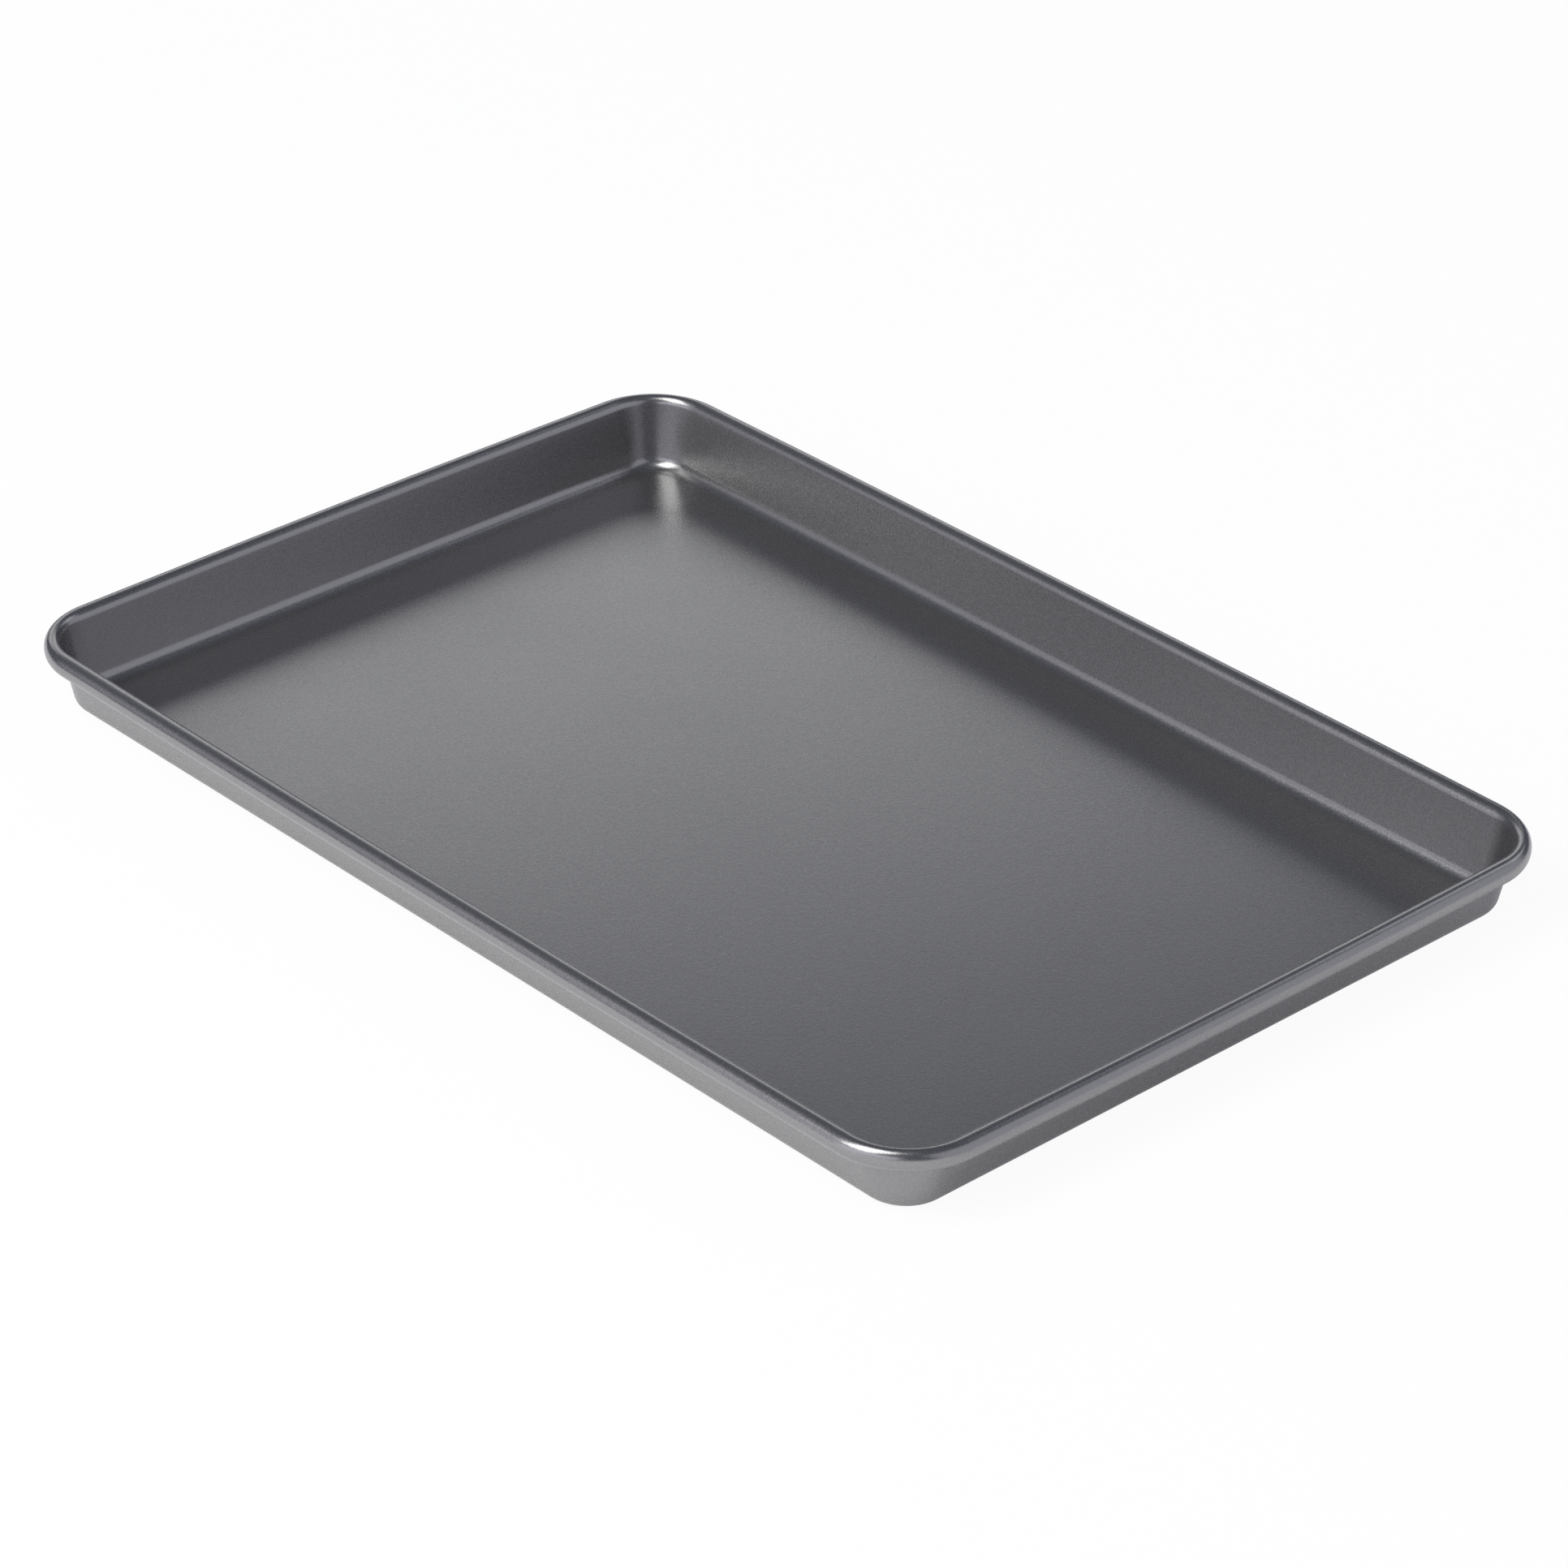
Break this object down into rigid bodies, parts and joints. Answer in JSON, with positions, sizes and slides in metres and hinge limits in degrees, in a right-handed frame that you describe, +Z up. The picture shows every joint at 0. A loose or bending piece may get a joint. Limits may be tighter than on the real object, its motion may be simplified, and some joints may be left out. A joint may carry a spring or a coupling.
{
  "type": "cookie sheet",
  "caption": "Shallow rectangular baking sheet in dark coated steel, with sloping walls, rounded corners and a rim rolled outwards over a stiffening wire.",
  "frame": {"origin": "middle of the flat underside, where the sheet stands", "axes": "+X along the long sides, +Y along the short sides, +Z up out of the open top"},
  "size_m": [0.438, 0.293, 0.0266],
  "materials": {
    "coated_steel": "dark grey nonstick coating, satin, with a fine metallic fleck",
    "galvanised_wire": "dull galvanised"
  },
  "bodies": {
    "root": {"pan_shell": "coated_steel", "rim_wire": "galvanised_wire"}
  },
  "joints": []
}
